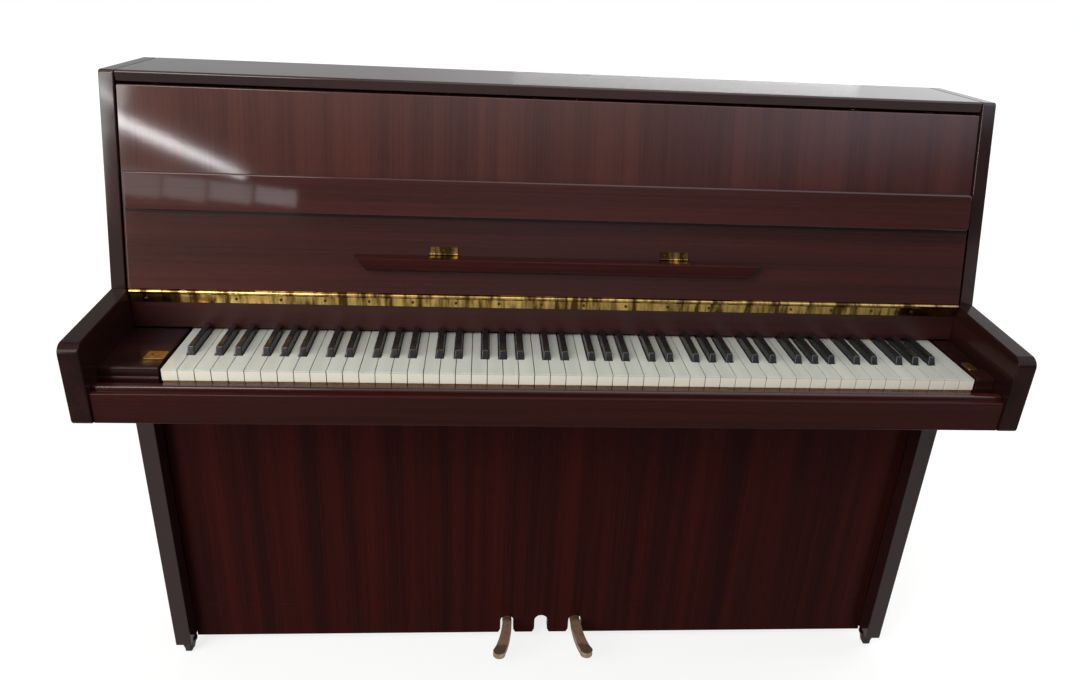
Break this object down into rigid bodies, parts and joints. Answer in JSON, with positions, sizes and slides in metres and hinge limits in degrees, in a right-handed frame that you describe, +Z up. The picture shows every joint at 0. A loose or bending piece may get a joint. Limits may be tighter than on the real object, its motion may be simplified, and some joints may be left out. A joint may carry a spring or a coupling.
{
  "type": "upright piano",
  "caption": "Small console upright piano: glossy case on casters, full keyboard with its action, two pedals, folding keyboard cover with music ledge, hinged lid.",
  "frame": {"origin": "on the floor, under the middle of the piano's footprint", "axes": "+X towards the treble end of the keyboard, +Y from the player to the back, +Z up"},
  "size_m": [1.4, 0.48, 1.084],
  "materials": {
    "mahogany_gloss": "high-gloss reddish mahogany lacquer",
    "plain_wood": "plain unpolished wood",
    "spruce": "satin varnished spruce",
    "brass": "polished brass",
    "iron_bronze": "bronze paint",
    "steel": "plain steel",
    "action_wood": "plain maple",
    "action_metal": "grey paint",
    "key_white": "polished off-white",
    "key_black": "satin black",
    "caster_metal": "dull bronze-brown",
    "wheel": "dark brown"
  },
  "bodies": {
    "case": {"side_left": "mahogany_gloss", "side_right": "mahogany_gloss", "arm_left": "mahogany_gloss", "arm_right": "mahogany_gloss", "back_frame": "plain_wood", "soundboard": "spruce", "ribs_and_bridges": "spruce", "iron_plate": "iron_bronze", "pin_block": "plain_wood", "strings_and_pins": "steel", "upper_panel": "mahogany_gloss", "name_board": "mahogany_gloss", "keybed": "plain_wood", "keybed_rail": "mahogany_gloss", "key_slip": "mahogany_gloss", "key_blocks": "mahogany_gloss", "key_block_plates": "brass", "key_frame": "plain_wood", "action_frame": "action_metal", "lower_panel": "mahogany_gloss", "toe_rail": "mahogany_gloss", "bottom_board": "plain_wood", "fixed_hinge_leaves": "brass", "pedal_brackets": "steel", "caster_brackets": "caster_metal"},
    "lid": {"lid": "mahogany_gloss", "lid_hinge_leaves": "brass"},
    "fallboard": {"fallboard": "mahogany_gloss", "fallboard_nosing": "mahogany_gloss", "fallboard_hinge_leaves": "brass"},
    "music_ledge": {"music_ledge": "mahogany_gloss", "ledge_hinge_leaves": "brass"},
    "pedal_left": {"pedal_left": "brass"},
    "pedal_right": {"pedal_right": "brass"},
    "dowel_left": {"dowel_left": "action_wood"},
    "dowel_right": {"dowel_right": "action_wood"},
    "wheel_front_left": {"wheel_front_left": "wheel"},
    "wheel_front_right": {"wheel_front_right": "wheel"},
    "wheel_rear_left": {"wheel_rear_left": "wheel"},
    "wheel_rear_right": {"wheel_rear_right": "wheel"},
    "keys_1": {"white_keys_1": "key_white", "black_keys_1": "key_black"},
    "wippens_1": {"wippens_1": "action_wood"},
    "hammers_1": {"hammers_1": "action_wood"},
    "dampers_1": {"dampers_1": "action_wood"},
    "keys_2": {"white_keys_2": "key_white", "black_keys_2": "key_black"},
    "wippens_2": {"wippens_2": "action_wood"},
    "hammers_2": {"hammers_2": "action_wood"},
    "dampers_2": {"dampers_2": "action_wood"},
    "keys_3": {"white_keys_3": "key_white", "black_keys_3": "key_black"},
    "wippens_3": {"wippens_3": "action_wood"},
    "hammers_3": {"hammers_3": "action_wood"},
    "dampers_3": {"dampers_3": "action_wood"},
    "keys_4": {"white_keys_4": "key_white", "black_keys_4": "key_black"},
    "wippens_4": {"wippens_4": "action_wood"},
    "hammers_4": {"hammers_4": "action_wood"},
    "dampers_4": {"dampers_4": "action_wood"}
  },
  "joints": [
    {"name": "lid_hinge", "type": "hinge", "parent": "case", "child": "lid", "pos_m": [0, 0.2165, 1.0646], "axis": [1, 0, 0], "range_deg": [-100, 0]},
    {"name": "fallboard_hinge", "type": "hinge", "parent": "case", "child": "fallboard", "pos_m": [0, -0.0605, 0.766], "axis": [1, 0, 0], "range_deg": [0, 118.9]},
    {"name": "ledge_hinge", "type": "hinge", "parent": "fallboard", "child": "music_ledge", "pos_m": [0, -0.04547, 0.83218], "axis": [1, 0, 0], "range_deg": [-92, 0]},
    {"name": "pedal_left_press", "type": "hinge", "parent": "case", "child": "pedal_left", "pos_m": [-0.0625, 0.012, 0.05], "axis": [1, 0, 0], "range_deg": [0, 8.2], "stiffness_Nm_per_rad": 8, "springref_deg": -8.59},
    {"name": "pedal_right_press", "type": "hinge", "parent": "case", "child": "pedal_right", "pos_m": [0.0745, 0.012, 0.05], "axis": [1, 0, 0], "range_deg": [0, 8.2], "stiffness_Nm_per_rad": 8, "springref_deg": -8.59},
    {"name": "dowel_left_lift", "type": "slide", "parent": "case", "child": "dowel_left", "axis": [0, 0, 1], "range_m": [0, 0.014]},
    {"name": "dowel_right_lift", "type": "slide", "parent": "case", "child": "dowel_right", "axis": [0, 0, 1], "range_m": [0, 0.014]},
    {"name": "wheel_front_left_roll", "type": "hinge", "parent": "case", "child": "wheel_front_left", "pos_m": [-0.6835, -0.028, 0.012], "axis": [1, 0, 0], "continuous": true},
    {"name": "wheel_front_right_roll", "type": "hinge", "parent": "case", "child": "wheel_front_right", "pos_m": [0.6835, -0.028, 0.012], "axis": [1, 0, 0], "continuous": true},
    {"name": "wheel_rear_left_roll", "type": "hinge", "parent": "case", "child": "wheel_rear_left", "pos_m": [-0.6835, 0.18, 0.012], "axis": [1, 0, 0], "continuous": true},
    {"name": "wheel_rear_right_roll", "type": "hinge", "parent": "case", "child": "wheel_rear_right", "pos_m": [0.6835, 0.18, 0.012], "axis": [1, 0, 0], "continuous": true},
    {"name": "keys_1_press", "type": "hinge", "parent": "case", "child": "keys_1", "pos_m": [0.028, -0.013, 0.674], "axis": [1, 0, 0], "range_deg": [0, 3.1], "stiffness_Nm_per_rad": 60, "springref_deg": -4.58},
    {"name": "wippens_1_lift", "type": "hinge", "parent": "case", "child": "wippens_1", "pos_m": [0.028, 0.096, 0.735], "axis": [1, 0, 0], "range_deg": [-6.9, 0]},
    {"name": "hammers_1_strike", "type": "hinge", "parent": "case", "child": "hammers_1", "pos_m": [0.028, 0.088, 0.812], "axis": [1, 0, 0], "range_deg": [-19.6, 0]},
    {"name": "dampers_1_lift", "type": "hinge", "parent": "case", "child": "dampers_1", "pos_m": [0.028, 0.1134, 0.803], "axis": [1, 0, 0], "range_deg": [0, 3.2]},
    {"name": "keys_2_press", "type": "hinge", "parent": "case", "child": "keys_2", "pos_m": [0.028, -0.013, 0.674], "axis": [1, 0, 0], "range_deg": [0, 3.1], "stiffness_Nm_per_rad": 60, "springref_deg": -4.58},
    {"name": "wippens_2_lift", "type": "hinge", "parent": "case", "child": "wippens_2", "pos_m": [0.028, 0.096, 0.735], "axis": [1, 0, 0], "range_deg": [-6.9, 0]},
    {"name": "hammers_2_strike", "type": "hinge", "parent": "case", "child": "hammers_2", "pos_m": [0.028, 0.088, 0.812], "axis": [1, 0, 0], "range_deg": [-19.6, 0]},
    {"name": "dampers_2_lift", "type": "hinge", "parent": "case", "child": "dampers_2", "pos_m": [0.028, 0.1134, 0.803], "axis": [1, 0, 0], "range_deg": [0, 3.2]},
    {"name": "keys_3_press", "type": "hinge", "parent": "case", "child": "keys_3", "pos_m": [0.028, -0.013, 0.674], "axis": [1, 0, 0], "range_deg": [0, 3.1], "stiffness_Nm_per_rad": 60, "springref_deg": -4.58},
    {"name": "wippens_3_lift", "type": "hinge", "parent": "case", "child": "wippens_3", "pos_m": [0.028, 0.096, 0.735], "axis": [1, 0, 0], "range_deg": [-6.9, 0]},
    {"name": "hammers_3_strike", "type": "hinge", "parent": "case", "child": "hammers_3", "pos_m": [0.028, 0.088, 0.812], "axis": [1, 0, 0], "range_deg": [-19.6, 0]},
    {"name": "dampers_3_lift", "type": "hinge", "parent": "case", "child": "dampers_3", "pos_m": [0.028, 0.1134, 0.803], "axis": [1, 0, 0], "range_deg": [0, 3.2]},
    {"name": "keys_4_press", "type": "hinge", "parent": "case", "child": "keys_4", "pos_m": [0.028, -0.013, 0.674], "axis": [1, 0, 0], "range_deg": [0, 3.1], "stiffness_Nm_per_rad": 60, "springref_deg": -4.58},
    {"name": "wippens_4_lift", "type": "hinge", "parent": "case", "child": "wippens_4", "pos_m": [0.028, 0.096, 0.735], "axis": [1, 0, 0], "range_deg": [-6.9, 0]},
    {"name": "hammers_4_strike", "type": "hinge", "parent": "case", "child": "hammers_4", "pos_m": [0.028, 0.088, 0.812], "axis": [1, 0, 0], "range_deg": [-19.6, 0]},
    {"name": "dampers_4_lift", "type": "hinge", "parent": "case", "child": "dampers_4", "pos_m": [0.028, 0.1134, 0.803], "axis": [1, 0, 0], "range_deg": [0, 3.2]}
  ],
  "couplings": [
    {"joint": "dowel_left_lift", "follows": "pedal_left_press", "m_per_rad": 0.096},
    {"joint": "dowel_right_lift", "follows": "pedal_right_press", "m_per_rad": 0.096},
    {"joint": "wippens_1_lift", "follows": "keys_1_press", "ratio": -2.2},
    {"joint": "hammers_1_strike", "follows": "keys_1_press", "ratio": -6.29},
    {"joint": "dampers_1_lift", "follows": "keys_1_press", "ratio": 1},
    {"joint": "wippens_2_lift", "follows": "keys_2_press", "ratio": -2.2},
    {"joint": "hammers_2_strike", "follows": "keys_2_press", "ratio": -6.29},
    {"joint": "dampers_2_lift", "follows": "keys_2_press", "ratio": 1},
    {"joint": "wippens_3_lift", "follows": "keys_3_press", "ratio": -2.2},
    {"joint": "hammers_3_strike", "follows": "keys_3_press", "ratio": -6.29},
    {"joint": "dampers_3_lift", "follows": "keys_3_press", "ratio": 1},
    {"joint": "wippens_4_lift", "follows": "keys_4_press", "ratio": -2.2},
    {"joint": "hammers_4_strike", "follows": "keys_4_press", "ratio": -6.29},
    {"joint": "dampers_4_lift", "follows": "keys_4_press", "ratio": 1}
  ]
}
